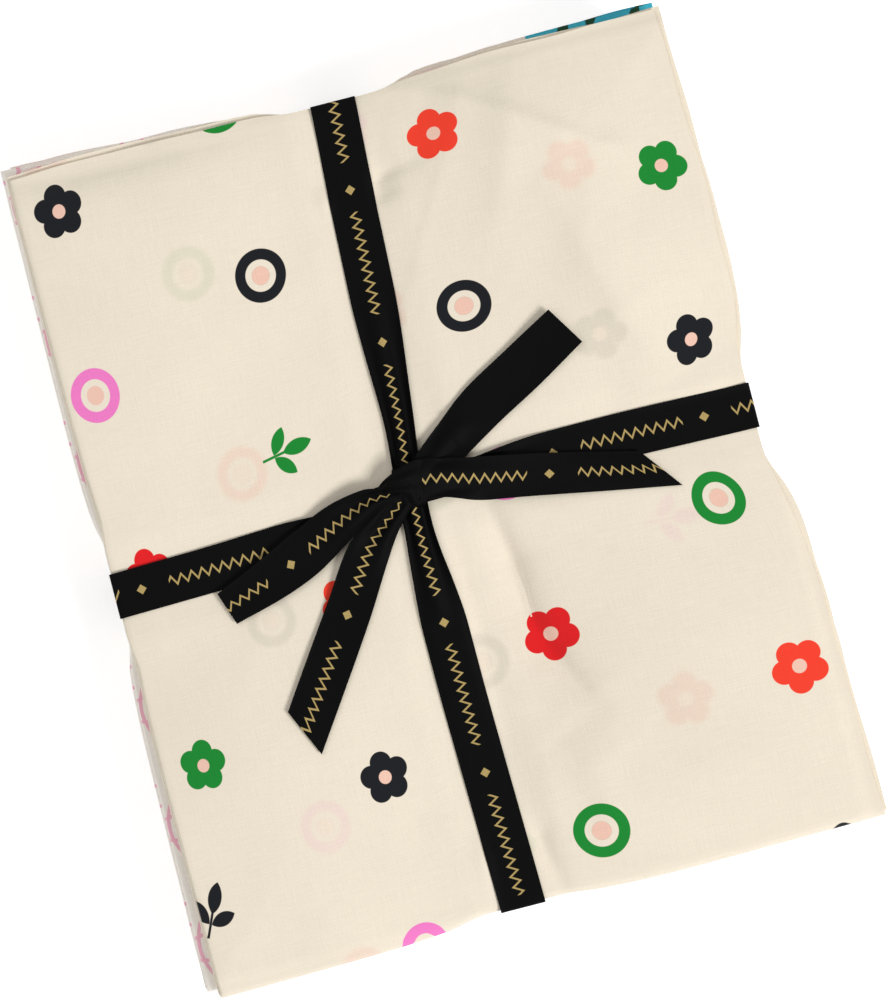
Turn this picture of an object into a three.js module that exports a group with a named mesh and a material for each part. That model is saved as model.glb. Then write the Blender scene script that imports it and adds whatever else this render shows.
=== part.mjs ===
// A bundle of six fat quarters of quilting cotton, each folded in half twice, stacked and tied crosswise
// with two black ribbons that meet in one knot with four free ends.
// Millimetres, +Z up. X runs along the 9 inch side, Y along the 11 inch side, and the bundle lies on z = 0.
import * as THREE from "three";

// Driving dimensions
const INCH = 25.4;
const CUT_WIDTH = 18 * INCH; // a fat quarter is cut 18 by 22 inches
const CUT_LENGTH = 22 * INCH;
const CLOTH = 1.0; // thickness of one layer
const LAYER_AIR = 0.3; // air between two layers
const RIBBON_WIDTH = 15;
const RIBBON = 1.0; // ribbon thickness
const CLEAR = 0.4; // air between a ribbon and what it lies on
const FOLD_STEPS = 4; // flat steps round each folded edge

// Two folds bring the cut cloth to a quarter of its area, in four layers.
const HALF_WIDTH = CUT_WIDTH / 4;
const HALF_LENGTH = CUT_LENGTH / 4;
const LAYERS = 4;
const PITCH = CLOTH + LAYER_AIR;

// One row for each fat quarter, from the floor up: how far the ends of each side stand out (+) or in (-)
// from the mean outline, and how far the under layers stand out at the two open sides.
const QUARTERS = [
  { name: "fat_quarter_1", color: 0x8fb9b4, left_top: -1.6, left_bottom: -0.4, right_top: -2.4, right_bottom: 1.6,
    top_left: -1.8, top_right: -0.6, bottom_left: -0.8, bottom_right: -2.0, step_x: 1.2, step_y: -1.4 },
  { name: "fat_quarter_2", color: 0xefc4b4, left_top: 0.2, left_bottom: -1.4, right_top: -3.4, right_bottom: 0.4,
    top_left: 0.6, top_right: -1.2, bottom_left: -1.2, bottom_right: 0.4, step_x: -1.6, step_y: 0.8 },
  { name: "fat_quarter_3", color: 0xf3dcd4, left_top: -1.4, left_bottom: 0.6, right_top: -4.0, right_bottom: 2.2,
    top_left: 2.6, top_right: 0.4, bottom_left: -1.6, bottom_right: -2.2, step_x: 0.8, step_y: 1.6 },
  { name: "fat_quarter_4", color: 0x5fb9cc, left_top: -1.2, left_bottom: -0.6, right_top: -3.8, right_bottom: 2.8,
    top_left: 0.4, top_right: 4.3, bottom_left: 0.4, bottom_right: 2.0, step_x: -1.0, step_y: -0.8 },
  { name: "fat_quarter_5", color: 0xf1e3d3, left_top: 0.5, left_bottom: 2.6, right_top: -2.6, right_bottom: 3.4,
    top_left: 2.0, top_right: -0.2, bottom_left: 1.0, bottom_right: -1.8, step_x: 1.6, step_y: 1.2 },
  { name: "fat_quarter_6", color: 0xeee2cd, left_top: -0.8, left_bottom: -1.9, right_top: -3.3, right_bottom: 4.0,
    top_left: -0.4, top_right: 1.4, bottom_left: 3.2, bottom_right: -1.0, step_x: -1.2, step_y: -1.0 },
];
const STACK = QUARTERS.length * LAYERS * PITCH - LAYER_AIR; // height of the stack before it is tied

// Lines of the grid on which all layers are drawn, measured from the ribbons' crossing. The column ribbon
// gives the place of the ribbon that runs across each line: its y for the first table, its x for the second.
const GROOVE = 13; // the cloth lies flat this far to either side of a ribbon
const BESIDE = 28;
const LINES_X = [
  { at: -HALF_WIDTH, ribbon: -4.2 },
  { at: -70, ribbon: -3.1 },
  { at: -BESIDE, ribbon: -1.0 },
  { at: -GROOVE, ribbon: 5.2 },
  { at: GROOVE, ribbon: 5.6 },
  { at: BESIDE, ribbon: 5.9 },
  { at: 70, ribbon: 6.1 },
  { at: HALF_WIDTH, ribbon: 5.0 },
];
const LINES_Y = [
  { at: -HALF_LENGTH, ribbon: -6.8 },
  { at: -102, ribbon: -7.7 },
  { at: -65, ribbon: -8.6 },
  { at: -BESIDE, ribbon: -8.9 },
  { at: -GROOVE, ribbon: -9.4 },
  { at: GROOVE, ribbon: -8.2 },
  { at: BESIDE, ribbon: -6.6 },
  { at: 65, ribbon: -5.0 },
  { at: 102, ribbon: -3.5 },
  { at: HALF_LENGTH, ribbon: -1.4 },
];

// The tied stack is higher between the ribbons than under them, and drawn in where they turn round its sides.
const PRESSED = 1.06; // height of the stack under a ribbon at the sides, as a share of STACK
const LOFTED = 1.2; // the same in the middle of the four fields between the ribbons
const LOFT_REACH = 62; // from the groove's edge to the full height
const KNOT_LOFT = 0.45; // share of that rise that is left beside the knot, where the ribbons press least
const EDGE_ROLL = 0.3; // share of that rise that is lost at the outer edges
const EDGE_REACH = 34;
const DRAWN_IN = { left: 2.8, right: 6.7, top: 3.1, bottom: 3.1 };
const DRAWN_REACH = 20;

// The ribbons' narrowing towards the knot, and the round of their corners at the sides of the stack
const GATHERED_WIDTH = 9;
const GATHER_FROM = 10; // from the knot's middle to where a ribbon starts to widen
const GATHER_REACH = { top: 62, others: 40 }; // and from there to its full width
const CORNER = 0.6;
const CROSSING = 9.5; // half length of the stretch in which one ribbon passes over the other underneath
const CROSSING_REACH = 22;

// The knot, and the profile of its half section: share of the radius, and height over the cloth
const KNOT = { x: -8.5, y: 7.0, half_x: 7.5, half_y: 8.5, roundness: 3, segments: 24 };
const KNOT_PROFILE = [
  { radius: 0, up: 0 },
  { radius: 1, up: 0 },
  { radius: 1, up: 4.7 },
  { radius: 0.9, up: 5.9 },
  { radius: 0.68, up: 6.9 },
  { radius: 0.36, up: 7.4 },
  { radius: 0, up: 7.5 },
];
const KNOT_PLEATS = { count: 3, depth: 0.07, turn: 0.6 };

// The four free ends. Each leaves the knot at root_angle degrees from +X, root_width wide and root_up over the
// cloth. Each row is one section across the ribbon: its left and right edges as one looks away from the knot,
// and their heights over the cloth. The last row is the cut end.
const TAILS = [
  { name: "ribbon_tail_1", root_angle: 36, root_width: 6, root_up: 1.8, rows: [
    { left_x: 4.7, left_y: 24.9, left_up: 1.2, right_x: 13.3, right_y: 12.6, right_up: 1.9 },
    { left_x: 17.0, left_y: 33.8, left_up: 0.6, right_x: 25.7, right_y: 20.5, right_up: 0.8 },
    { left_x: 33.2, left_y: 43.0, left_up: 0.6, right_x: 41.9, right_y: 29.3, right_up: 0.6 },
    { left_x: 50.7, left_y: 52.6, left_up: 2.2, right_x: 59.0, right_y: 39.5, right_up: 1.8 },
  ] },
  { name: "ribbon_tail_2", root_angle: -8, root_width: 7, root_up: 3.2, rows: [
    { left_x: 15.5, left_y: 10.6, left_up: 3.3, right_x: 13.0, right_y: -3.0, right_up: 2.4 },
    { left_x: 34.2, left_y: 7.6, left_up: 2.0, right_x: 31.0, right_y: -6.2, right_up: 1.8 },
    { left_x: 52.4, left_y: 3.5, left_up: 2.0, right_x: 52.5, right_y: -10.2, right_up: 1.6 },
    { left_x: 68.6, left_y: -0.5, left_up: 2.0, right_x: 79.7, right_y: -15.0, right_up: 0.7 },
  ] },
  { name: "ribbon_tail_3", root_angle: 198, root_width: 7, root_up: 3.5, rows: [
    { left_x: -22.5, left_y: -2.6, left_up: 3.4, right_x: -24.5, right_y: 9.8, right_up: 3.0 },
    { left_x: -32.5, left_y: -7.8, left_up: 3.2, right_x: -37.0, right_y: 7.0, right_up: 2.4 },
    { left_x: -45.0, left_y: -13.4, left_up: 1.9, right_x: -49.6, right_y: 2.2, right_up: 2.1 },
    { left_x: -58.4, left_y: -18.2, left_up: 1.6, right_x: -63.0, right_y: -4.1, right_up: 2.0 },
    { left_x: -75.7, left_y: -22.8, left_up: 0.8, right_x: -79.6, right_y: -11.5, right_up: 1.9 },
  ] },
  { name: "ribbon_tail_4", root_angle: 232, root_width: 7, root_up: 1.9, rows: [
    { left_x: -17.2, left_y: -7.0, left_up: 1.3, right_x: -25.0, right_y: -0.4, right_up: 1.9 },
    { left_x: -21.4, left_y: -15.9, left_up: 0.7, right_x: -33.4, right_y: -7.6, right_up: 1.8 },
    { left_x: -32.5, left_y: -32.6, left_up: 0.6, right_x: -44.6, right_y: -23.2, right_up: 0.6 },
    { left_x: -46.3, left_y: -53.1, left_up: 0.6, right_x: -57.4, right_y: -41.9, right_up: 0.6 },
    { left_x: -59.1, left_y: -71.8, left_up: 1.0, right_x: -66.5, right_y: -55.4, right_up: 1.0 },
  ] },
];
const TAIL_STEPS = 4; // sections from one row of a tail to the next
const RIBBON_COLOR = 0x0f0f10;

const clamp = (value, low, high) => Math.min(high, Math.max(low, value));
const mix = (from, to, share) => from + (to - from) * share;
const smooth = (value) => {
  const share = clamp(value, 0, 1);
  return share * share * (3 - 2 * share);
};

// The span of a table of lines that holds a place, and the place's share of it (past 0 or 1 beyond the ends).
function spanOf(lines, place) {
  let k = 0;
  while (k < lines.length - 2 && place > lines[k + 1].at) k++;
  return [k, (place - lines[k].at) / (lines[k + 1].at - lines[k].at)];
}
function ribbonAt(lines, place) {
  const [k, share] = spanOf(lines, place);
  return mix(lines[k].ribbon, lines[k + 1].ribbon, share);
}

// The grid is skewed so that its middle lines follow the ribbons: from grid places to millimetres, and back.
function toPlan(g, h) {
  const x = g + ribbonAt(LINES_Y, h) * Math.max(0, 1 - Math.abs(g) / HALF_WIDTH);
  const y = h + ribbonAt(LINES_X, g) * Math.max(0, 1 - Math.abs(h) / HALF_LENGTH);
  return [x, y];
}
function toGrid(x, y) {
  let [g, h] = [x, y];
  for (let pass = 0; pass < 12; pass++) {
    const [px, py] = toPlan(g, h);
    g += x - px;
    h += y - py;
  }
  return [g, h];
}

// The share of the full rise at a grid place: none under the ribbons at the sides, all in the four fields.
function loft(g, h) {
  const away = (distance) => smooth((Math.abs(distance) - GROOVE) / LOFT_REACH);
  const open = away(g) * away(h);
  const out = clamp(Math.max(Math.abs(g) / HALF_WIDTH, Math.abs(h) / HALF_LENGTH), 0, 1);
  const edge = Math.min(HALF_WIDTH - Math.abs(g), HALF_LENGTH - Math.abs(h));
  const rise = mix(open, 1, KNOT_LOFT * (1 - out * out));
  return rise * (1 - EDGE_ROLL * (1 - smooth(edge / EDGE_REACH)));
}

// The ribbons run under the stack too, and lift it off the floor where they do.
const ROOM = RIBBON + CLEAR;
const lift = (g, h) => ROOM * ((Math.abs(g) <= GROOVE ? 1 : 0) + (Math.abs(h) <= GROOVE ? 1 : 0));
const atNodes = (value) => LINES_X.map((g) => LINES_Y.map((h) => value(g.at, h.at)));
const SWELL = atNodes((g, h) => mix(PRESSED, LOFTED, loft(g, h)));
const LIFT = atNodes(lift);

// Each field of the grid is creased along its diagonal that runs out from the knot.
const creaseRises = (i, j) =>
  (LINES_X[i].at + LINES_X[i + 1].at) * (LINES_Y[j].at + LINES_Y[j + 1].at) >= 0;

// A value given at the grid's nodes, read at any place on the flat facets between them.
function onFacets(values, g, h) {
  const [i, s] = spanOf(LINES_X, g);
  const [j, t] = spanOf(LINES_Y, h);
  const [a, b, c, d] = [values[i][j], values[i + 1][j], values[i + 1][j + 1], values[i][j + 1]];
  if (s < 0 || s > 1 || t < 0 || t > 1) return mix(mix(a, b, s), mix(d, c, s), t);
  if (creaseRises(i, j)) return s > t ? a + s * (b - a) + t * (c - b) : a + t * (d - a) + s * (c - d);
  return s + t < 1 ? a + s * (b - a) + t * (d - a) : c + (1 - s) * (d - c) + (1 - t) * (b - c);
}

// The height in the tied bundle of what lay at a level of the flat stack.
function heightOf(g, h, level) {
  return level * onFacets(SWELL, g, h) + onFacets(LIFT, g, h) * (1 - level / STACK);
}
function topAt(x, y) {
  const [g, h] = toGrid(x, y);
  return heightOf(g, h, STACK);
}

// A closed sheet from its two faces: at(i, j, face) is a point, and straight(i, j) picks a field's diagonal.
function sheet(count_i, count_j, at, straight = () => true) {
  const positions = [];
  const faces = [];
  for (const face of [0, 1])
    for (let i = 0; i < count_i; i++)
      for (let j = 0; j < count_j; j++) positions.push(...at(i, j, face));
  const index = (i, j, face) => (face * count_i + i) * count_j + j;
  const field = (a, b, c, d, along) => {
    if (along) faces.push(a, b, c, a, c, d);
    else faces.push(b, c, d, b, d, a);
  };
  for (let i = 0; i + 1 < count_i; i++)
    for (let j = 0; j + 1 < count_j; j++) {
      const along = straight(i, j);
      field(index(i, j, 1), index(i + 1, j, 1), index(i + 1, j + 1, 1), index(i, j + 1, 1), along);
      field(index(i, j + 1, 0), index(i + 1, j + 1, 0), index(i + 1, j, 0), index(i, j, 0), !along);
    }
  const [end_i, end_j] = [count_i - 1, count_j - 1];
  for (let i = 0; i < end_i; i++) {
    field(index(i, 0, 0), index(i + 1, 0, 0), index(i + 1, 0, 1), index(i, 0, 1), true);
    field(index(i, end_j, 1), index(i + 1, end_j, 1), index(i + 1, end_j, 0), index(i, end_j, 0), true);
  }
  for (let j = 0; j < end_j; j++) {
    field(index(0, j, 1), index(0, j + 1, 1), index(0, j + 1, 0), index(0, j, 0), true);
    field(index(end_i, j, 0), index(end_i, j + 1, 0), index(end_i, j + 1, 1), index(end_i, j, 1), true);
  }
  const corner = (k) => new THREE.Vector3().fromArray(positions, 3 * faces[k]);
  let volume = 0;
  for (let k = 0; k < faces.length; k += 3) volume += corner(k).dot(corner(k + 1).cross(corner(k + 2)));
  if (volume < 0) faces.reverse();
  const geometry = new THREE.BufferGeometry();
  geometry.setAttribute("position", new THREE.Float32BufferAttribute(positions, 3));
  geometry.setIndex(faces);
  geometry.computeVertexNormals();
  return geometry;
}

// Stations along cloth that runs in from its open edge, turns round a fold and runs back out one layer higher.
// up is the layer (-1 lower, +1 upper) and out how far round the fold a station lies.
function foldedLine(lines, fold_radius) {
  const stations = lines.map((line, k) => ({
    at: k === 0 ? line.at + fold_radius : line.at,
    edge: k === 0 ? -1 : k === lines.length - 1 ? 1 : 0,
  }));
  const lower = stations.map((station) => ({ ...station, up: -1, out: 0 })).reverse();
  const upper = stations.map((station) => ({ ...station, up: 1, out: 0 }));
  const turn = [];
  for (let k = 1; k < FOLD_STEPS; k++) {
    const angle = (Math.PI * k) / FOLD_STEPS;
    turn.push({ ...stations[0], up: -Math.cos(angle), out: -Math.sin(angle) });
  }
  return [...lower, ...turn, ...upper];
}

// How far a side of the cloth stands out past its grid line: in step with all layers beside a ribbon.
function sideMove(edge, along, stands_out, drawn) {
  const distance = Math.max(0, Math.abs(along) - GROOVE);
  const free = smooth(distance / (BESIDE - GROOVE));
  const pulled = Math.exp(-((distance / DRAWN_REACH) ** 2));
  return edge * (stands_out * free - drawn * pulled);
}

// A fat quarter folded in half across X and then, as a double layer, across Y.
function fatQuarter(quarter, place_in_stack) {
  const first = foldedLine(LINES_X, (PITCH + CLOTH) / 2);
  const second = foldedLine(LINES_Y, (3 * PITCH + CLOTH) / 2);
  const centre = (place_in_stack * LAYERS + LAYERS / 2) * PITCH - LAYER_AIR / 2;
  const at = (i, j, face) => {
    const a = first[i];
    const b = second[j];
    const u = (a.at / HALF_WIDTH + 1) / 2;
    const v = (b.at / HALF_LENGTH + 1) / 2;
    const side_x =
      a.edge < 0
        ? mix(quarter.left_bottom, quarter.left_top, v)
        : mix(quarter.right_bottom, quarter.right_top, v) - (a.up * quarter.step_x) / 2;
    const side_y =
      b.edge < 0
        ? mix(quarter.bottom_left, quarter.bottom_right, u)
        : mix(quarter.top_left, quarter.top_right, u) - (b.up * quarter.step_y) / 2;
    const bend_x = PITCH / 2 + (face - 0.5) * CLOTH;
    const bend_y = PITCH - bend_x * a.up;
    const drawn_x = a.edge < 0 ? DRAWN_IN.left : DRAWN_IN.right;
    const drawn_y = b.edge < 0 ? DRAWN_IN.bottom : DRAWN_IN.top;
    const g = a.at + bend_x * a.out + sideMove(a.edge, b.at, side_x, drawn_x);
    const h = b.at + bend_y * b.out + sideMove(b.edge, a.at, side_y, drawn_y);
    return [...toPlan(g, h), heightOf(g, h, centre + bend_y * b.up)];
  };
  const runsBack = (stations, k) => stations[k].up < 0 && stations[k + 1].up < 0;
  const straight = (i, j) => {
    const middle_x = first[i].at + first[i + 1].at;
    const middle_y = second[j].at + second[j + 1].at;
    return middle_x * middle_y >= 0 === (runsBack(first, i) === runsBack(second, j));
  };
  return sheet(first.length, second.length, at, straight);
}

// Width of a ribbon at a distance from the knot's centre
const ribbonWidth = (distance, reach) =>
  mix(GATHERED_WIDTH, RIBBON_WIDTH, smooth((distance - GATHER_FROM) / reach));

// How far the knot reaches from its centre in a direction
function knotReach(angle) {
  const power = KNOT.roundness / (KNOT.roundness - 1);
  const x = Math.abs(KNOT.half_x * Math.cos(angle)) ** power;
  const y = Math.abs(KNOT.half_y * Math.sin(angle)) ** power;
  return (x + y) ** (1 / power) + LAYER_AIR;
}

// Path of a ribbon's inner face round the stack, from one side of the knot to the other, as places along it
// and heights. low and high are the places of the stack's two sides, and lines the grid lines that it crosses.
function ribbonPath(low, high, lines, knot_low, knot_high, top, under) {
  const inner = lines.slice(1, -1).map((line) => line.at);
  const between = (from, to) => {
    const places = inner.filter((place) => place > from + 2 && place < to - 2);
    const all = [from, ...places, to];
    return all.flatMap((place, k) => (k === 0 ? [place] : [(all[k - 1] + place) / 2, place]));
  };
  const corner = (s, z, from_angle) => {
    const points = [];
    for (let k = 0; k <= 3; k++) {
      const angle = from_angle - (Math.PI / 2) * (k / 3);
      points.push([s + CORNER * Math.cos(angle), z + CORNER * Math.sin(angle)]);
    }
    return points;
  };
  const side_high = high + CLEAR - CORNER;
  const side_low = low - CLEAR + CORNER;
  const out = between(knot_high, side_high).slice(0, -1);
  const back = between(side_low, knot_low).slice(1);
  const below = [...between(side_low, side_high)].reverse().slice(1, -1);
  return [
    ...out.map((s) => [s, top(s)]),
    ...corner(side_high, top(side_high) - CORNER, Math.PI / 2),
    ...corner(side_high, under(side_high) + CORNER, 0),
    ...below.map((s) => [s, under(s)]),
    ...corner(side_low, under(side_low) + CORNER, -Math.PI / 2),
    ...corner(side_low, top(side_low) - CORNER, Math.PI),
    ...back.map((s) => [s, top(s)]),
  ];
}

// The outer face of a ribbon: its path moved out by the ribbon's thickness, square to the path on both sides.
function movedOut(path, distance) {
  return path.map(([s, z], k) => {
    const before = path[Math.max(0, k - 1)];
    const after = path[Math.min(path.length - 1, k + 1)];
    const into = new THREE.Vector2(s - before[0], z - before[1]);
    const onward = new THREE.Vector2(after[0] - s, after[1] - z);
    const along = into.normalize().add(onward.normalize()).normalize();
    const bend = into.lengthSq() > 0 && onward.lengthSq() > 0 ? Math.max(0.7, along.dot(onward)) : 1;
    return [s - (along.y * distance) / bend, z + (along.x * distance) / bend];
  });
}

// A ribbon round the stack: three points across each section of its path
function ribbonLoop(path, point) {
  const faces = [path, movedOut(path, RIBBON)];
  return sheet(path.length, 3, (i, j, face) => point(faces[face][i], (j - 1) / 2));
}

function lengthwiseRibbon() {
  const centre = (y) => ribbonAt(LINES_Y, y);
  const top = (y) => topAt(centre(y), y) + CLEAR;
  const under = () => RIBBON;
  const low = -HALF_LENGTH + DRAWN_IN.bottom;
  const high = HALF_LENGTH - DRAWN_IN.top;
  const knot_low = KNOT.y - knotReach(-Math.PI / 2);
  const knot_high = KNOT.y + knotReach(Math.PI / 2);
  const path = ribbonPath(low, high, LINES_Y, knot_low, knot_high, top, under);
  const reach = (y) => (y > KNOT.y ? GATHER_REACH.top : GATHER_REACH.others);
  const width = (y) => ribbonWidth(Math.abs(y - KNOT.y), reach(y));
  const point = ([y, z], across) => [centre(y) + across * width(y), y, z];
  return ribbonLoop(path, point);
}

function crosswiseRibbon() {
  const centre = (x) => ribbonAt(LINES_X, x - ribbonAt(LINES_Y, 0));
  const top = (x) => topAt(x, centre(x)) + CLEAR;
  const crossing_x = ribbonAt(LINES_Y, centre(KNOT.x));
  const over = (x) => 1 - smooth((Math.abs(x - crossing_x) - CROSSING) / (CROSSING_REACH - CROSSING));
  const under = (x) => RIBBON + (RIBBON + CLEAR) * over(x);
  const low = -HALF_WIDTH + DRAWN_IN.left;
  const high = HALF_WIDTH - DRAWN_IN.right;
  const knot_low = KNOT.x - knotReach(Math.PI);
  const knot_high = KNOT.x + knotReach(0);
  const path = ribbonPath(low, high, LINES_X, knot_low, knot_high, top, under);
  const width = (x) => ribbonWidth(Math.abs(x - KNOT.x), GATHER_REACH.others);
  const point = ([x, z], across) => [x, centre(x) - across * width(x), z];
  return ribbonLoop(path, point);
}

// The knot: a rounded lump with a few pleats where the ribbon is drawn tight
function knot() {
  const profile = KNOT_PROFILE.map((row) => new THREE.Vector2(row.radius, row.up));
  const geometry = new THREE.LatheGeometry(profile, KNOT.segments).rotateX(Math.PI / 2);
  const points = geometry.getAttribute("position");
  const wall = KNOT_PROFILE[2].up;
  for (let k = 0; k < points.count; k++) {
    const angle = Math.atan2(points.getY(k), points.getX(k));
    const radius = Math.hypot(points.getX(k), points.getY(k));
    const across = (Math.abs(Math.cos(angle)) / KNOT.half_x) ** KNOT.roundness;
    const along = (Math.abs(Math.sin(angle)) / KNOT.half_y) ** KNOT.roundness;
    const outline = radius / (across + along) ** (1 / KNOT.roundness);
    const x = KNOT.x + outline * Math.cos(angle);
    const y = KNOT.y + outline * Math.sin(angle);
    const up = points.getZ(k);
    const pleat = KNOT_PLEATS.depth * Math.cos(KNOT_PLEATS.count * angle + KNOT_PLEATS.turn);
    const crown = up > wall ? (up - wall) * pleat * 4 * radius : 0;
    points.setXYZ(k, x, y, topAt(x, y) + CLEAR + up + crown);
  }
  geometry.deleteAttribute("normal");
  geometry.deleteAttribute("uv");
  return geometry;
}

// A free end: smooth edges through its rows, from the knot to the cut
function ribbonTail(tail) {
  const angle = THREE.MathUtils.degToRad(tail.root_angle);
  const out = new THREE.Vector3(Math.cos(angle), Math.sin(angle), 0);
  const aside = new THREE.Vector3(-out.y, out.x, 0).multiplyScalar(tail.root_width / 2);
  const root = new THREE.Vector3(KNOT.x, KNOT.y, tail.root_up).addScaledVector(out, knotReach(angle));
  const edge = (side, start) =>
    new THREE.CatmullRomCurve3([
      start,
      ...tail.rows.map((row) => new THREE.Vector3(row[side + "_x"], row[side + "_y"], row[side + "_up"])),
    ]);
  const edges = [edge("left", root.clone().add(aside)), edge("right", root.clone().sub(aside))];
  const steps = tail.rows.length * TAIL_STEPS;
  const at = (i, j, face) => {
    const [left, right] = edges.map((curve) => curve.getPoint(i / steps));
    const point = left.lerp(right, j / 2);
    return [point.x, point.y, topAt(point.x, point.y) + point.z + face * RIBBON];
  };
  return sheet(steps + 1, 3, at);
}

function piece(name, geometry, color, roughness) {
  const mesh = new THREE.Mesh(geometry, new THREE.MeshStandardMaterial({ color, roughness, metalness: 0 }));
  mesh.name = name;
  return mesh;
}

const bundle = new THREE.Group();
QUARTERS.forEach((quarter, k) => bundle.add(piece(quarter.name, fatQuarter(quarter, k), quarter.color, 0.9)));
bundle.add(piece("ribbon_lengthwise", lengthwiseRibbon(), RIBBON_COLOR, 0.6));
bundle.add(piece("ribbon_crosswise", crosswiseRibbon(), RIBBON_COLOR, 0.6));
bundle.add(piece("ribbon_knot", knot(), RIBBON_COLOR, 0.6));
TAILS.forEach((tail) => bundle.add(piece(tail.name, ribbonTail(tail), RIBBON_COLOR, 0.6)));

// The origin is on the floor, below the middle of the whole bundle.
const box = new THREE.Box3().setFromObject(bundle);
bundle.position.set(-(box.min.x + box.max.x) / 2, -(box.min.y + box.max.y) / 2, -box.min.z);

export default bundle;
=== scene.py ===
import math

import bpy
import numpy as np
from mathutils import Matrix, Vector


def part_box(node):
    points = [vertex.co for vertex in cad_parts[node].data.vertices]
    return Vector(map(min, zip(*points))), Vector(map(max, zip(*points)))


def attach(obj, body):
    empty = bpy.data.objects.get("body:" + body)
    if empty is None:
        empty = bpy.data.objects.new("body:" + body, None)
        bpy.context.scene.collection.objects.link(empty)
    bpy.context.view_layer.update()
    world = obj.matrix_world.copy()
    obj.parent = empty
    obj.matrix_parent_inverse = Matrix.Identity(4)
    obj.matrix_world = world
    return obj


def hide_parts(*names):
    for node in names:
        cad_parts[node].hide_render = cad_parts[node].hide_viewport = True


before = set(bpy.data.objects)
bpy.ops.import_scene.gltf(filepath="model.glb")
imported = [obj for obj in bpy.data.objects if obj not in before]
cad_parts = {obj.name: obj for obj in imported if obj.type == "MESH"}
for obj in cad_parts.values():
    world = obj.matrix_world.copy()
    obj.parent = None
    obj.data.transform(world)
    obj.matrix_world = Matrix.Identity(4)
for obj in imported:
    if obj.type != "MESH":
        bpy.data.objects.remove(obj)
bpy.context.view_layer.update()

# Where the CAD model has the bundle
# The middles of the two ribbons' loops are known on the bundle's own axes, so the boxes of their nodes give
# the shift from those axes to the frame's.
MM = 0.001
CROSSWISE_MIDDLE = -1.95  # x
LENGTHWISE_MIDDLE = 0.0  # y


def middle(node, axis):
    """Halfway between a node's lowest and highest place on one axis, in millimetres."""
    low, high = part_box(node)
    return (low[axis] + high[axis]) / 2 / MM


SHIFT = np.array(
    [
        middle("ribbon_crosswise", 0) - CROSSWISE_MIDDLE,
        middle("ribbon_lengthwise", 1) - LENGTHWISE_MIDDLE,
        0.0,
    ]
)

# Camera
# The photo looks straight down on the bundle, which is turned anticlockwise in it.
IMAGE_HEIGHT = 1000  # pixels, of an image 890 pixels wide
MM_PER_PIXEL = 0.3333  # on the top cloth, from the 9 by 11 inch fold
BUNDLE_TURN = 14.45  # degrees
AIM = (1.7, -0.1)  # what lies in the middle of the image
TOP_CLOTH = 35.0  # height of the cloth on which the scale was measured
CAMERA_DISTANCE = 1100.0
SENSOR = 36.0

camera_data = bpy.data.cameras.new("camera")
camera_data.sensor_width = SENSOR
camera_data.lens = SENSOR * CAMERA_DISTANCE / (IMAGE_HEIGHT * MM_PER_PIXEL)
camera = bpy.data.objects.new("camera", camera_data)
camera.location = (np.array([*AIM, TOP_CLOTH + CAMERA_DISTANCE]) + SHIFT) * MM
camera.rotation_euler = (0.0, 0.0, -math.radians(BUNDLE_TURN))
bpy.context.collection.objects.link(camera)
bpy.context.scene.camera = camera

# Table and studio light
# A plain white table in an even white studio. A large soft lamp stands off to the lower right of the image,
# and a weak one over its upper left.
TABLE_SIZE = 6.0  # metres
TABLE_DROP = 0.0002  # metres that the table lies under the bundle, so that no two faces share a plane
TABLE_WHITE = (0.93, 0.93, 0.93)
TABLE_GRAIN = (0.8, 0.8, 0.8)
TABLE_GLOW = 0.45  # keeps the table near white where the bundle shades it
LAMP_FROM, LAMP_SIZE, LAMP_POWER = (2.35, -2.15, 3.0), 1.5, 134.0  # metres from the bundle, metres, watts
FILL_FROM, FILL_SIZE, FILL_POWER = (-0.6, 0.5, 1.5), 1.2, 6.0
STUDIO_LIGHT = 0.405

side = TABLE_SIZE / 2
corners = [(-side, -side, 0), (side, -side, 0), (side, side, 0), (-side, side, 0)]
table_mesh = bpy.data.meshes.new("table")
table_mesh.from_pydata(corners, [], [(0, 1, 2, 3)])
table = bpy.data.objects.new("table", table_mesh)
table.location.z = -TABLE_DROP
bpy.context.collection.objects.link(table)


def operator(operation):
    """A method that adds a Math node of an operation, with the Shade itself as its first input."""
    return lambda self, *others: self.math(operation, self, *others)


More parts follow.
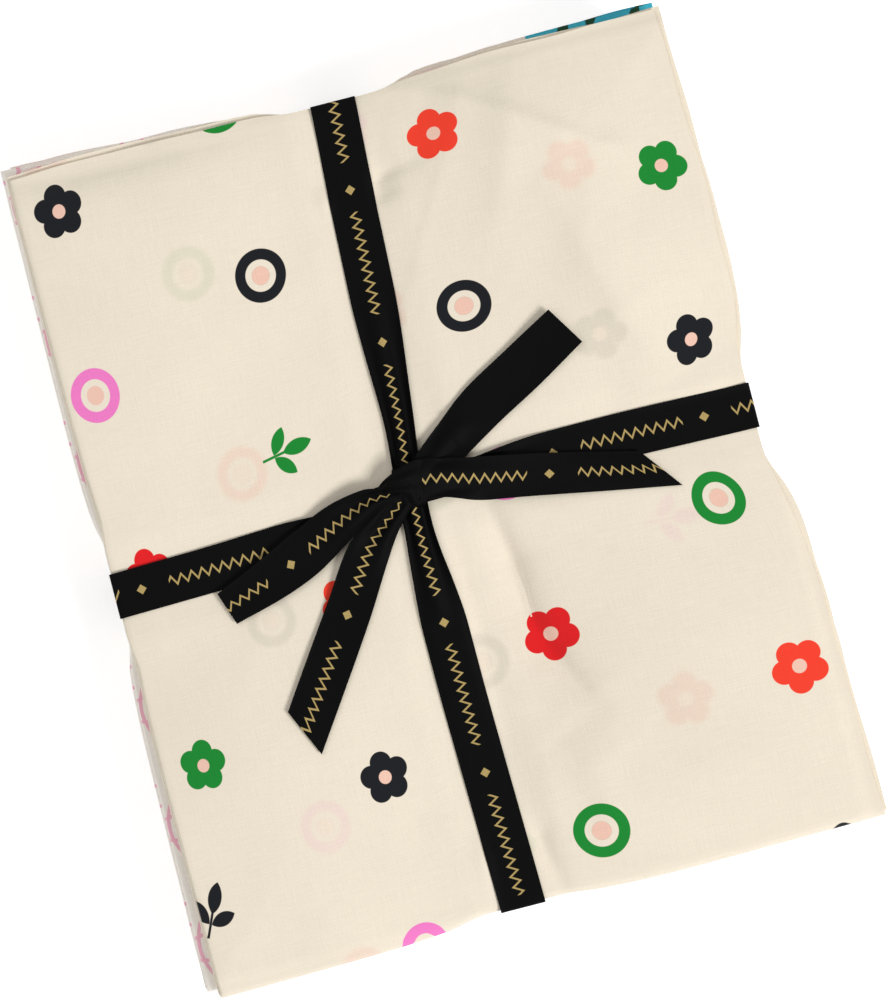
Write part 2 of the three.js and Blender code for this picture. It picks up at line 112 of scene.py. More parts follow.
class Shade:
    """One output of a node. Python's operators on it add Math nodes, so a pattern is written as a sum."""

    def __init__(self, tree, socket):
        self.tree = tree
        self.socket = socket

    def node(self, kind, settings=None, inputs=None, output=0):
        """Adds a node of a kind, with its settings first and then the values or links of its sockets."""
        made = self.tree.nodes.new(kind)
        for key, value in (settings or {}).items():
            if key == "stops":
                ramp = made.color_ramp
                while len(ramp.elements) < len(value):
                    ramp.elements.new(0.5)
                for element, (place, color) in zip(ramp.elements, value):
                    element.position = place
                    element.color = (*color, 1.0)
            elif key == "ramp":
                made.color_ramp.interpolation = value
            else:
                setattr(made, key, value)
        for key, value in (inputs or {}).items():
            socket = made.inputs[key]
            if isinstance(value, Shade):
                self.tree.links.new(value.socket, socket)
            elif value is not None:
                socket.default_value = value
        return Shade(self.tree, made.outputs[output])

    def math(self, operation, *values):
        return self.node("ShaderNodeMath", {"operation": operation}, dict(enumerate(values)))

    def __rsub__(self, other):
        return self.math("SUBTRACT", other, self)

    __add__ = __radd__ = operator("ADD")
    __sub__ = operator("SUBTRACT")
    __mul__ = __rmul__ = operator("MULTIPLY")
    __truediv__ = operator("DIVIDE")
    __pow__ = operator("POWER")
    __mod__ = operator("FLOORED_MODULO")
    __abs__ = operator("ABSOLUTE")
    floor = operator("FLOOR")
    sine = operator("SINE")
    cosine = operator("COSINE")
    least = operator("MINIMUM")
    most = operator("MAXIMUM")

    def below(self, limit, edge=0.12):
        """1 where the value is under a limit and 0 over it, with a soft edge of the given width."""
        soft = {"interpolation_type": "SMOOTHSTEP"}
        ranges = {"From Min": limit - edge, "From Max": limit + edge, "To Min": 1.0, "To Max": 0.0}
        return self.node("ShaderNodeMapRange", soft, {"Value": self, **ranges})

    def blend(self, under, over):
        """Colour over laid on colour under, with this value as the share."""
        return self.node("ShaderNodeMix", {"data_type": "RGBA"}, {0: self, 6: under, 7: over}, output=2)


def finish(name, roughness, specular, sheen=0.0):
    """A new material with its constant values set, with its shader and a Shade to build its pattern from."""
    material = bpy.data.materials.new(name)
    material.use_nodes = True
    shader = material.node_tree.nodes["Principled BSDF"]
    shader.inputs["Roughness"].default_value = roughness
    shader.inputs["Specular IOR Level"].default_value = specular
    shader.inputs["Sheen Weight"].default_value = sheen
    shader.inputs["Sheen Roughness"].default_value = 0.5
    return material, shader, Shade(material.node_tree, None)


table_paint, table_shader, base = finish("table_paint", 0.6, 0.3)
grain = base.node("ShaderNodeTexNoise", None, {"Scale": 40.0, "Detail": 3.0})
toned = (grain * 0.02).blend((*TABLE_WHITE, 1.0), (*TABLE_GRAIN, 1.0))
table_paint.node_tree.links.new(toned.socket, table_shader.inputs["Base Color"])
table_shader.inputs["Emission Color"].default_value = (1.0, 1.0, 1.0, 1.0)
table_shader.inputs["Emission Strength"].default_value = TABLE_GLOW
table_mesh.materials.append(table_paint)

world = bpy.data.worlds.new("studio")
world.use_nodes = True
world.node_tree.nodes["Background"].inputs["Color"].default_value = (1.0, 1.0, 1.0, 1.0)
world.node_tree.nodes["Background"].inputs["Strength"].default_value = STUDIO_LIGHT
bpy.context.scene.world = world
bpy.context.scene.view_settings.view_transform = "Standard"


def lamp(name, place, size, power):
    """A square lamp at a place, turned to face the bundle."""
    data = bpy.data.lights.new(name, "AREA")
    data.size = size
    data.energy = power
    made = bpy.data.objects.new(name, data)
    made.location = place
    x, y, z = place
    made.rotation_euler = (math.atan2(math.hypot(x, y), z), 0.0, math.atan2(y, x) + math.pi / 2)
    bpy.context.collection.objects.link(made)


lamp("lamp_right", LAMP_FROM, LAMP_SIZE, LAMP_POWER)
lamp("lamp_left", FILL_FROM, FILL_SIZE, FILL_POWER)

# The tied stack
# Six fat quarters of quilting cotton, each 18 by 22 inches and folded in half twice to 9 by 11 inches, lie on
# each other. Two ribbons press a groove into them both ways, and the cloth swells in the fields between.
INCH = 25.4
CUT = (18 * INCH, 22 * INCH)
HALF_WIDTH = CUT[0] / 4
HALF_LENGTH = CUT[1] / 4
QUARTER_COUNT = 6
LAYERS = 4
PITCH = 1.3  # from one layer of cloth to the next
LAYER_GAP = 0.3  # the part of the pitch that is air
STACK = QUARTER_COUNT * LAYERS * PITCH - LAYER_GAP  # height of the flat stack

# The ribbons' middle lines: the crosswise one's y at these x, and the lengthwise one's x at these y
CROSSWISE_AT = [-114.3, -70, -28, -13, 13, 28, 70, 114.3]
CROSSWISE_Y = [-4.2, -3.1, -1.0, 5.2, 5.6, 5.9, 6.1, 5.0]
LENGTHWISE_AT = [-139.7, -102, -65, -28, -13, 13, 28, 65, 102, 139.7]
LENGTHWISE_X = [-6.8, -7.7, -8.6, -8.9, -9.4, -8.2, -6.6, -5.0, -3.5, -1.4]
BEND_REACH = 7.0  # how far to each side of a bend in them it is rounded

GROOVE = 13.0  # from a ribbon's middle line to where the cloth starts to rise
PRESSED, LOFTED = 1.06, 1.2  # height at a ribbon and between them, as a share of the flat stack's
LOFT_REACH = 62.0  # over which the cloth rises from one to the other
KNOT_LOFT = 0.45  # share of the rise that is left beside the knot
EDGE_ROLL, EDGE_REACH = 0.3, 34.0  # share of the rise that is lost at the outer edges, and from how far in
PRESS_DEPTH, PRESS_HALF, PRESS_REACH = 1.1, 6.5, 12.0  # the last dip of the cloth under a ribbon
RIBBON_LIFT, LIFT_HALF, LIFT_REACH = 0.9, 8.0, 20.0  # how far a ribbon under the stack lifts it, and where

# Creases of the top cloth. For each: how far it reaches to the left and to the right of its path, how far it
# is rounded at the path, and the path itself as x, y and rise.
CREASES = [
    # the dip along the top edge, left of the ribbon
    (40.0, 4.2, 0.7, [
        (-118, 138, -1.8), (-106, 136.6, -2.6), (-93, 135.6, -3.1), (-66, 135.4, -2.8), (-46, 135.1, -1.6),
        (-26, 135, -0.5), (-14, 134.6, 0),
    ]),
    # the long crease from the knot to the lower right: a sharp line in a broad trough
    (3.0, 18.0, 0.8, [
        (14, 0, -1.4), (17, -14, -2.6), (18.8, -25, -3.1), (19.4, -42, -2.9), (22.6, -54.5, -2.4),
        (27.2, -64.5, -1.9), (32.3, -75, -1.1), (40, -84.5, 0),
    ]),
    (14.0, 18.0, 1.5, [(15, -4, -0.8), (18, -25, -3.6), (19, -42, -3.6), (23, -57, -3.1), (32, -76, 0)]),
    # the ridge across the upper right corner
    (3.6, 36.0, 1.0, [
        (17, 138, 0.6), (29.5, 133, 1.8), (39.4, 128.8, 3.8), (46, 124, 3.6), (58.3, 116.7, 3.4),
        (70, 108.8, 3.4), (79, 102.5, 2.2), (94, 97, 0),
    ]),
    # pinches beside the upper arm of the ribbon, two on its right and a small one on its left
    (5.0, 2.2, 0.6, [(3.6, 107.5, -2.2), (10.7, 111, -1.8), (17, 112, -1.0), (27, 113.6, 0)]),
    (4.0, 2.0, 0.6, [(3.4, 103.6, -2.2), (9.7, 104.6, -1.2), (15, 104.8, 0)]),
    (6.0, 2.6, 0.7, [(-11, 112, 0), (-11.2, 106, 1.9), (-12.4, 99, 0)]),
    # two broad folds that come down the upper right field
    (18.0, 11.0, 3.0, [
        (60, 98.5, 0), (64.5, 81.5, 1.8), (69.5, 64, 3.4), (75, 46.5, 4.2), (81, 31, 2.2), (85, 19, 0),
    ]),
    (15.0, 9.0, 3.0, [(62, 138, 0.3), (56, 127, 1.9), (51, 108, 2.6), (44, 89.6, 1.9), (35, 75, 0)]),
    # the cloth that bunches over the right arm
    (9.0, 2.0, 1.0, [(64, 15, 0), (74, 15.6, 1.3), (84, 15.4, 1.6), (96, 15, 1.7), (112, 14, 1.2)]),
    # soft folds and pinches beside the lower arm
    (14.0, 7.5, 3.0, [(22, -86, 0), (28, -98, 1.7), (30, -112, 1.5), (26, -128, 0)]),
    (10.0, 6.0, 2.5, [(13.5, -76, 0), (13, -92, 0.7), (12, -112, 0.9), (6, -132, 0)]),
    (4.0, 2.6, 0.8, [(4.4, -117, -2.0), (6, -126, -1.6), (8.5, -138, -0.9)]),
    (6.0, 4.0, 0.8, [(-15, -110, 0), (-15.4, -120, 1.8), (-17, -134, 0.5)]),
    # shallow ones in the open fields
    (5.0, 3.0, 1.0, [(-43, 41, 0), (-31, 27, -0.6), (-17.5, 15, -0.9)]),
    (8.0, 4.0, 1.6, [(27, -62, 0), (39, -78.5, 0.6), (51, -90, 0)]),
    (5.0, 8.0, 1.8, [(60, -20, 0), (77, -35, -0.5), (94, -45, 0)]),
    (9.0, 6.0, 2.0, [(-62, -14, 0), (-72, -34, 0.5), (-88, -58, 0)]),
    (8.0, 6.0, 2.0, [(-40, -80, 0), (-34, -100, -0.5), (-36, -124, 0)]),
]
TOP_WAVES, TOP_WAVE_LENGTH, TOP_WAVE_SEED = 0.45, 75.0, 11
FLAT_UNDER, FLAT_REACH = 4.5, 6.0  # the creases are flat this near a ribbon's middle line, and whole beyond


def soft_step(value):
    """From 0 to 1 along 3 t^2 - 2 t^3, held at 0 and 1 outside that range."""
    share = np.clip(value, 0.0, 1.0)
    return share * share * (3.0 - 2.0 * share)


def eased(places, values, at):
    """Straight stretches between the given places, rounded at their ends by a mean over a short window."""
    window = np.linspace(-BEND_REACH, BEND_REACH, 9)
    return sum(np.interp(at + shift, places, values) for shift in window) / len(window)


def on_plan(g, h):
    """The stack's grid is skewed so that its middle lines follow the ribbons: each place moves by its
    ribbon's offset, times a share that falls from 1 at the middle line to 0 at the sides."""
    x = g + eased(LENGTHWISE_AT, LENGTHWISE_X, h) * np.maximum(0, 1 - np.abs(g) / HALF_WIDTH)
    y = h + eased(CROSSWISE_AT, CROSSWISE_Y, g) * np.maximum(0, 1 - np.abs(h) / HALF_LENGTH)
    return x, y


def on_grid(x, y):
    """The way back from the plan to the grid: the miss is taken off again, a few times over."""
    g, h = x, y
    for _ in range(8):
        px, py = on_plan(g, h)
        g, h = g + x - px, h + y - py
    return g, h


def swell(g, h):
    """Height of the stack as a share of its flat height: the product of two soft steps away from the
    ribbons, partly filled in round the knot and rolled off at the outer edges, less a dip at each ribbon."""
    away = soft_step((np.abs(g) - GROOVE) / LOFT_REACH) * soft_step((np.abs(h) - GROOVE) / LOFT_REACH)
    out = np.clip(np.maximum(np.abs(g) / HALF_WIDTH, np.abs(h) / HALF_LENGTH), 0, 1)
    edge = np.minimum(HALF_WIDTH - np.abs(g), HALF_LENGTH - np.abs(h))
    rise = away + (1 - away) * KNOT_LOFT * (1 - out**2)
    rise = rise * (1 - EDGE_ROLL * (1 - soft_step(edge / EDGE_REACH)))
    dip = [1 - soft_step((np.abs(d) - PRESS_HALF) / PRESS_REACH) for d in (g, h)]
    return PRESSED + (LOFTED - PRESSED) * rise - np.maximum(*dip) * PRESS_DEPTH / STACK


def lifted(g, h):
    """How far the ribbons under the stack lift it: a soft bump across each, added where they cross."""
    return RIBBON_LIFT * sum(1 - soft_step((np.abs(d) - LIFT_HALF) / LIFT_REACH) for d in (g, h))


def creased(x, y):
    """The sum of the top cloth's creases. Each falls off exponentially from its path, faster on one side
    than on the other, and is rounded at the path itself."""
    total = 0.0 * x
    for left, right, soft, path in CREASES:
        distance, rise, side = total + 1e6, 0.0 * x, 0.0 * x
        for (ax, ay, rise_a), (bx, by, rise_b) in zip(path[:-1], path[1:]):
            dx, dy = bx - ax, by - ay
            along = np.clip(((x - ax) * dx + (y - ay) * dy) / (dx * dx + dy * dy), 0, 1)
            away = np.hypot(x - ax - along * dx, y - ay - along * dy)
            nearer = away < distance
            distance = np.where(nearer, away, distance)
            rise = np.where(nearer, rise_a + along * (rise_b - rise_a), rise)
            side = np.where(nearer, dx * (y - ay) - dy * (x - ax), side)
        reach = np.where(side > 0, left, right)
        rounded = np.hypot(distance, soft) - soft
        total = total + rise * np.exp(-rounded / reach)
    return total


def waves(x, y, seed, length, count=6):
    """A gentle unevenness, mostly between -1 and 1: the sum of sine waves in seeded directions, from 0.7 to
    1.5 of a length long, divided by the size that such a sum has at its usual peaks."""
    draw = np.random.default_rng(seed)
    total = 0.0 * x
    for _ in range(count):
        angle, phase = draw.uniform(0, 2 * np.pi, 2)
        wave = 2 * np.pi / (length * draw.uniform(0.7, 1.5))
        total = total + np.sin(wave * (x * np.cos(angle) + y * np.sin(angle)) + phase)
    return total / count**0.5 / 1.4


def height_of(g, h, level):
    """Height in the tied bundle of what lay at a level of the flat stack. The top cloth's creases and waves
    fade with the square of that level's share of the stack. The ribbons press the creases flat."""
    x, y = on_plan(g, h)
    share = np.clip(level / STACK, 0, 1)
    beside_lengthwise = soft_step((np.abs(g) - FLAT_UNDER) / FLAT_REACH)
    beside_crosswise = soft_step((np.abs(h) - FLAT_UNDER) / FLAT_REACH)
    uneven = TOP_WAVES * waves(x, y, TOP_WAVE_SEED, TOP_WAVE_LENGTH)
    top = creased(x, y) * (beside_lengthwise * beside_crosswise) + uneven
    return level * swell(g, h) + lifted(g, h) * (1 - share) + top * share**2


def cloth_top(x, y):
    """Height of the top of the stack at a place on the plan."""
    return height_of(*on_grid(x, y), STACK)


# Folded cuts
# Each fat quarter is one sheet of plain-weave cotton with cut edges, folded across its width and then across
# its length, so that its folds lie on the left and at the bottom. Nothing holds it but the ribbons.
COTTON = 0.75  # thickness as drawn
FINE, COARSE = 1.65, 5.0  # steps of the grid on the layer that shows and on the others
FOLD_STEPS = 8  # round a fold's half turn
FOLD_ROOM = (1.15, 2.45)  # how far in from its end the half turn of the first and of the second fold starts
SIDE_REACH = (44.3, 37.7)  # how far in from its end a side's unevenness reaches
DRAWN_IN = {"left": 1.5, "right": 5.1, "top": 1.9, "bottom": 1.6}  # how far the ribbons draw each side in
DRAWN_REACH = 20.0  # how far along a side they do
FREE_FROM, FREE_TO = 13.0, 28.0  # from a ribbon's middle line, where a side starts to lie free and is free
EDGE_WAVE, EDGE_WAVE_LENGTH = 0.7, 45.0  # unevenness of the cut edges
FOLD_STEP = 0.5  # how far a cut's lower pair of layers stands out at the left, and its upper pair lies in
CLOSED, CLOSED_REACH = 0.2, 15.0  # share of its thickness that a cut loses at its edges, and how far in
TOP_CLOSED, TOP_REACH = 0.7, 3.5  # how far the top cut's upper layers come down at its edges, and from where
SLACK, SLACK_LENGTH = 0.2, 38.0  # unevenness of each layer
TABLE_CLEAR = 0.05  # between the table and what lies lowest

# The cuts from the lowest to the top one. For each side, how far its two ends stand out from the mean
# outline, read upwards or to the right. outer is how far the outer two layers stand out past the inner two at
# the right. fan is how far the lower pair stands out, and the upper pair lies in, at the left end of the top.
QUARTERS = [
    {
        "left": (-0.4, -1.6), "right": (1.6, -2.4), "bottom": (-0.8, -2.0), "top": (-1.8, -0.6),
        "outer": 1.2, "fan": -1.4,
    },
    {
        "left": (-1.4, 0.2), "right": (0.4, -3.4), "bottom": (-1.2, 0.4), "top": (0.6, -1.2),
        "outer": -1.6, "fan": 0.8,
    },
    {
        "left": (0.6, -1.4), "right": (2.2, -4.0), "bottom": (-1.6, -2.2), "top": (4.0, 0.4),
        "outer": 0.8, "fan": 1.6,
    },
    {
        "left": (-0.6, -1.2), "right": (-3.0, -3.8), "bottom": (-3.4, 0.7), "top": (1.4, 5.2),
        "outer": -1.0, "fan": -0.4,
    },
    {
        "left": (2.6, 0.9), "right": (3.4, -2.6), "bottom": (1.0, -1.8), "top": (3.8, 0.6),
        "outer": 1.6, "fan": 0.6,
    },
    {
        "left": (-1.9, -0.9), "right": (4.0, -3.3), "bottom": (3.2, -1.0), "top": (1.0, 1.9),
        "outer": -1.2, "fan": 1.1,
    },
]


def folded_line(half, room, bend, lower_step, upper_step):
    """Stations along a cloth that runs in from its open end, round a half turn of radius bend and back out:
    their place, layer from -1 lower to 1 upper, bulge of the turn, and distance along the flat cloth."""
    start = -half + room
    run = half - start

    def flat_run(step):
        return np.linspace(0, run, int(round(run / step)) + 1)

    lower, upper = flat_run(lower_step), flat_run(upper_step)
    angle = np.linspace(0, np.pi, FOLD_STEPS + 1)[1:-1]
    place = np.concatenate([half - lower, np.full(angle.size, start), start + upper])
    layer = np.concatenate([-np.ones(lower.size), -np.cos(angle), np.ones(upper.size)])
    bulge = np.concatenate([np.zeros(lower.size), -np.sin(angle), np.zeros(upper.size)])
    flat = np.concatenate([lower, run + angle * bend, run + np.pi * bend + upper])
    return place, layer, bulge, flat


def side_move(place, half, reach, along, stands_out, drawn):
    """A side's move outwards, which grows by a soft step over reach to the side's end: by its own amount
    away from the ribbon, and inwards by a bell curve beside it."""
    share = np.sign(place) * soft_step((np.abs(place) - half + reach) / reach)
    free = soft_step((np.abs(along) - FREE_FROM) / (FREE_TO - FREE_FROM))
    pulled = np.exp(-((np.maximum(0, np.abs(along) - GROOVE) / DRAWN_REACH) ** 2))
    return share * (stands_out * free - drawn * pulled)


def sheet_mesh(name, points, flat):
    """A sheet of four-sided faces over a grid of points. Each corner carries its place on the flat cloth as
    its UV, in metres, and the open edges are marked sharp."""
    rows, columns = points.shape[:2]
    index = np.arange(rows * columns).reshape(rows, columns)
    around = [index[:-1, :-1], index[1:, :-1], index[1:, 1:], index[:-1, 1:]]
    faces = np.stack(around, axis=-1).reshape(-1, 4)
    mesh = bpy.data.meshes.new(name)
    mesh.vertices.add(rows * columns)
    mesh.vertices.foreach_set("co", ((points + SHIFT) * MM).ravel())
    mesh.loops.add(faces.size)
    mesh.loops.foreach_set("vertex_index", faces.ravel())
    mesh.polygons.add(len(faces))
    mesh.polygons.foreach_set("loop_start", np.arange(0, faces.size, 4))
    mesh.polygons.foreach_set("use_smooth", np.ones(len(faces), dtype=bool))
    mesh.update(calc_edges=True)
    uses = np.zeros(faces.size, dtype=np.int32)
    mesh.loops.foreach_get("edge_index", uses)
    open_edge = np.bincount(uses, minlength=len(mesh.edges)) == 1
    mesh.attributes.new("sharp_edge", "BOOLEAN", "EDGE").data.foreach_set("value", open_edge)
    uv = mesh.uv_layers.new(name="flat_cloth")
    uv.data.foreach_set("uv", (flat.reshape(-1, 2)[faces.ravel()] * MM).ravel())
    return mesh


def cloth_piece(name, mesh, thickness, node, slot, material):
    """The sheet as a piece of the bundle, given its thickness to both sides."""
    piece = bpy.data.objects.new(name, mesh)
    bpy.context.collection.objects.link(piece)
    wall = piece.modifiers.new("thickness", "SOLIDIFY")
    wall.thickness = thickness * MM
    wall.offset = 0.0
    mesh.materials.append(material)
    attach(piece, "root")
    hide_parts(node)
    return piece


def folded_cut(number):
    """The first fold turns layer -1 into layer 1 round a small radius, and the second turns that double
    layer over. Height and outline are read from the tied stack at each layer's own level."""
    quarter = QUARTERS[number]
    shows = number == QUARTER_COUNT - 1
    fine = FINE if shows else COARSE
    first = folded_line(HALF_WIDTH, FOLD_ROOM[0], PITCH / 2, fine, COARSE)
    second = folded_line(HALF_LENGTH, FOLD_ROOM[1], PITCH, COARSE, fine)
    a_place, a_layer, a_bulge, a_flat = (values[:, None] for values in first)
    b_place, b_layer, b_bulge, b_flat = (values[None, :] for values in second)
    bend_x = PITCH / 2
    bend_y = PITCH - bend_x * a_layer
    u = (a_place / HALF_WIDTH + 1) / 2
    v = (b_place / HALF_LENGTH + 1) / 2

    def side_between(name, share):
        start, end = quarter[name]
        return start + (end - start) * share

    ripple = EDGE_WAVE * waves(a_flat, b_flat, 100 + number, EDGE_WAVE_LENGTH)
    out_x = np.where(
        a_place < 0,
        side_between("left", v) - b_layer * FOLD_STEP,
        side_between("right", v) - a_layer * quarter["outer"] / 2 + ripple,
    )
    out_y = np.where(
        b_place < 0,
        side_between("bottom", u),
        side_between("top", u) - b_layer * quarter["fan"] * (1 - u) + ripple,
    )
    drawn_x = np.where(a_place < 0, DRAWN_IN["left"], DRAWN_IN["right"])
    drawn_y = np.where(b_place < 0, DRAWN_IN["bottom"], DRAWN_IN["top"])
    g = a_place + bend_x * a_bulge + side_move(a_place, HALF_WIDTH, SIDE_REACH[0], b_place, out_x, drawn_x)
    h = b_place + bend_y * b_bulge + side_move(b_place, HALF_LENGTH, SIDE_REACH[1], a_place, out_y, drawn_y)
    edge = np.minimum(HALF_WIDTH - np.abs(g), HALF_LENGTH - np.abs(h))
    thick = 1 - CLOSED * (1 - soft_step(edge / CLOSED_REACH))
    level = (number * LAYERS + LAYERS / 2) * PITCH - LAYER_GAP / 2 + bend_y * b_layer * thick
    if shows:
        level = level - TOP_CLOSED * (1 - soft_step(edge / TOP_REACH)) * (1 + b_layer) / 2
    x, y = on_plan(g, h)
    slack = SLACK * waves(a_flat, b_flat, 200 + number, SLACK_LENGTH)
    z = height_of(g, h, level) + slack * np.abs(a_layer) * np.abs(b_layer)
    z = np.maximum(z, COTTON / 2 + TABLE_CLEAR)
    flat = np.stack(np.broadcast_arrays(a_flat, b_flat), axis=-1)
    return np.stack([x, y, z], axis=-1), flat


# Cotton and its prints
# Plain-weave quilting cotton, matt, with uneven threads. The top cut's print is scattered blossoms, ringed
# dots and leaf sprigs on cream, and the layer beneath it shows through faintly.
def rgb(text):
    """The linear colour of a six-digit screen colour."""
    parts = [int(text[k : k + 2], 16) / 255 for k in (0, 2, 4)]
    return tuple(part / 12.92 if part <= 0.04045 else ((part + 0.055) / 1.055) ** 2.4 for part in parts)


INK = rgb("14161C")
RED = rgb("E01A1E")
ORANGE_RED = rgb("F23F2A")
GREEN = rgb("14862F")
DARK_GREEN = rgb("1D4630")
TURQUOISE = rgb("3FAFC6")
PINK = rgb("EE7CC4")
PALE_PINK = rgb("F6B9CB")
BLUSH = rgb("EDC3B0")
CREAM = rgb("EADFCC")
BLOCK_PITCH = (66.0, 60.0)  # one motif to a block of this size
BLOCK_SHIFT = 14.0  # of the first column of blocks past the cut edge
STRAY = 13.0  # how far a motif may stray in its block
PRINT_DRAW = 3  # which of the white noise's draws the print takes
BLOSSOMS_TO, RINGS_TO = 0.42, 0.74  # shares of the motifs: blossoms, then ringed dots, then sprigs
PETAL_AT, PETAL, EYE = 5.0, 3.9, 2.3  # a petal's place on the blossom, its radius and the eye's
RING, RING_HALF, DOT = 7.1, 1.8, 3.1  # radius of the ring's middle, half its width, and the dot's radius
TIP_AT, TIP_LEAF = 4.2, (5.4, 2.5)  # a leaf's size is half its length and half its width
SIDE_AT, SIDE_LEAF, SIDE_LEAN = (4.2, 1.6), (4.8, 2.2), math.radians(52)
STEM, STEM_DOWN = (0.45, 6.0), 3.0
PRINT_EDGE, THROUGH_EDGE = 0.12, 1.2  # softness of the print's edges and of those that show through
SHOWS_THROUGH = 0.11


def motifs(base, s, t, edge):
    """The print's motifs at a place of the flat cloth, in millimetres: their mask and colour. Columns of
    blocks stand half a block lower by turns, and each block draws its motif's kind, place and turn."""
    across = (s + BLOCK_SHIFT) / BLOCK_PITCH[0]
    column = across.floor()
    drop = (column % 2.0) * 0.5
    down = t / BLOCK_PITCH[1] + drop
    row = down.floor()
    block = base.node("ShaderNodeCombineXYZ", None, {0: column, 1: row + PRINT_DRAW * 100.0})
    flat_noise = {"noise_dimensions": "2D"}
    draw = base.node("ShaderNodeTexWhiteNoise", flat_noise, {"Vector": block}, output="Color")
    kind = base.node("ShaderNodeTexWhiteNoise", flat_noise, {"Vector": block}, output="Value")
    parts = [base.node("ShaderNodeSeparateColor", None, {0: draw}, output=k) for k in range(3)]
    x = (across - column - 0.5) * BLOCK_PITCH[0] - (parts[0] - 0.5) * STRAY
    y = (down - row - 0.5) * BLOCK_PITCH[1] - (parts[1] - 0.5) * STRAY
    turn = parts[2] * (2 * math.pi)
    u = x * turn.cosine() + y * turn.sine()
    v = y * turn.cosine() - x * turn.sine()
    radius = (u * u + v * v) ** 0.5

    # blossom: five round petals about an eye
    angle = base.math("ARCTAN2", v, u) * (5 / (2 * math.pi))
    petal_angle = abs((angle + 0.5) % 1.0 - 0.5) * (2 * math.pi / 5)
    petals = (radius * radius + PETAL_AT**2 - radius * (2 * PETAL_AT) * petal_angle.cosine()) ** 0.5
    blossom = petals.below(PETAL, edge)
    eye = radius.below(EYE, edge)

    # ringed dot: a broad ring about a dot
    ring = abs(radius - RING).below(RING_HALF, edge)
    dot = radius.below(DOT, edge)

    # sprig: a leaf at the tip and one to each side of a stem, each leaf where two circles overlap
    def leaf(a, b, size):
        long, wide = size
        arc = (long**2 + wide**2) / (2 * wide)
        return (((abs(a) + (arc - wide)) ** 2.0 + b * b) ** 0.5).below(arc, edge)

    w = abs(u) - SIDE_AT[0]
    d = v + SIDE_AT[1]
    side_a = w * math.cos(SIDE_LEAN) - d * math.sin(SIDE_LEAN)
    side_b = w * math.sin(SIDE_LEAN) + d * math.cos(SIDE_LEAN)
    stem = abs(u).below(STEM[0], edge) * abs(v + STEM_DOWN).below(STEM[1], edge)
    sprig = leaf(u, v - TIP_AT, TIP_LEAF).most(leaf(side_a, side_b, SIDE_LEAF)).most(stem)

    is_blossom = kind.below(BLOSSOMS_TO, 0.001)
    is_sprig = 1 - kind.below(RINGS_TO, 0.001)
    is_ring = (1 - is_blossom) * (1 - is_sprig)
    main = is_blossom * blossom + is_ring * ring + is_sprig * sprig
    second = is_blossom * eye + is_ring * dot

    # the colours follow each other from block to block, a seventh of the ramp at a time
    shades = [
        (0.0, INK), (0.14, GREEN), (0.28, RED), (0.42, PINK), (0.57, INK), (0.71, ORANGE_RED), (0.85, GREEN),
    ]
    pick = ((column * 3.0 + row) / 7.0 + 0.07) % 1.0
    color = base.node("ShaderNodeValToRGB", {"ramp": "CONSTANT", "stops": shades}, {0: pick})
    return main.most(second), second.blend(color, (*BLUSH, 1.0))


def flat_place(base):
    """The place on the flat cloth in millimetres, from the piece's own UV map."""
    place = base.node("ShaderNodeUVMap", {"uv_map": "flat_cloth"})
    return [base.node("ShaderNodeSeparateXYZ", None, {0: place}, output=k) * 1000.0 for k in range(2)]


THREAD_NOISE = (2.4, 0.11)  # how fast the noise changes across a thread and along it
THREAD = 0.36  # half a wave of the weave
THREAD_TONE = 0.1  # how much the threads vary the tone
CLOUDS, CLOUD_TONE = 0.03, 0.06  # broad patches to a millimetre, and how much they vary the tone
WOVEN_BUMP = {"Strength": 0.4, "Distance": 0.00012}  # of the weave and the ribs, with its depth in metres


def threads(base, s, t):
    """Unevenness of the threads both ways: two noises, each drawn out along its own thread."""
    total = None
    for along, across, layer in ((t, s, 3.0), (s, t, 9.0)):
        inputs = {0: across * THREAD_NOISE[0], 1: along * THREAD_NOISE[1], 2: layer}
        place = base.node("ShaderNodeCombineXYZ", None, inputs)
        noise = base.node("ShaderNodeTexNoise", None, {"Vector": place, "Scale": 1.0, "Detail": 2.0})
        total = noise if total is None else total + noise
    return total - 1.0


def cotton(name, ground, pattern):
    """Cotton of a ground colour with a pattern laid on it. Threads and wear vary its tone, and the plain
    weave is a product of two sine waves in its bump."""
    material, shader, base = finish(name, roughness=0.88, specular=0.22, sheen=0.12)
    s, t = flat_place(base)
    color = pattern(base, s, t, (*ground, 1.0))
    uneven = threads(base, s, t)
    place = base.node("ShaderNodeCombineXYZ", None, {0: s * CLOUDS, 1: t * CLOUDS})
    cloudy = base.node("ShaderNodeTexNoise", None, {"Vector": place, "Scale": 1.0, "Detail": 3.0})
    tone = 1.0 + uneven * THREAD_TONE + (cloudy - 0.5) * CLOUD_TONE
    full = base.node("ShaderNodeCombineColor", None, {0: tone, 1: tone, 2: tone})
    product = {"data_type": "RGBA", "blend_type": "MULTIPLY"}
    toned = base.node("ShaderNodeMix", product, {0: 1.0, 6: color, 7: full}, output=2)
    wave = math.pi / THREAD
    weave = (s * wave).sine() * (t * wave).sine() * 0.4 + uneven * 1.2
    bump = base.node("ShaderNodeBump", None, {**WOVEN_BUMP, "Height": weave})
    links = material.node_tree.links
    links.new(toned.socket, shader.inputs["Base Color"])
    links.new(bump.socket, shader.inputs["Normal"])
    return material


def scattered(base, s, t, ground):
    """The top cut's print, over the mirrored print of the layer beneath it, which shows through."""
    under_mask, under_color = motifs(base, CUT[0] - s, t, THROUGH_EDGE)
    through = (under_mask * SHOWS_THROUGH).blend(ground, under_color)
    mask, color = motifs(base, s, t, PRINT_EDGE)
    return mask.blend(through, color)


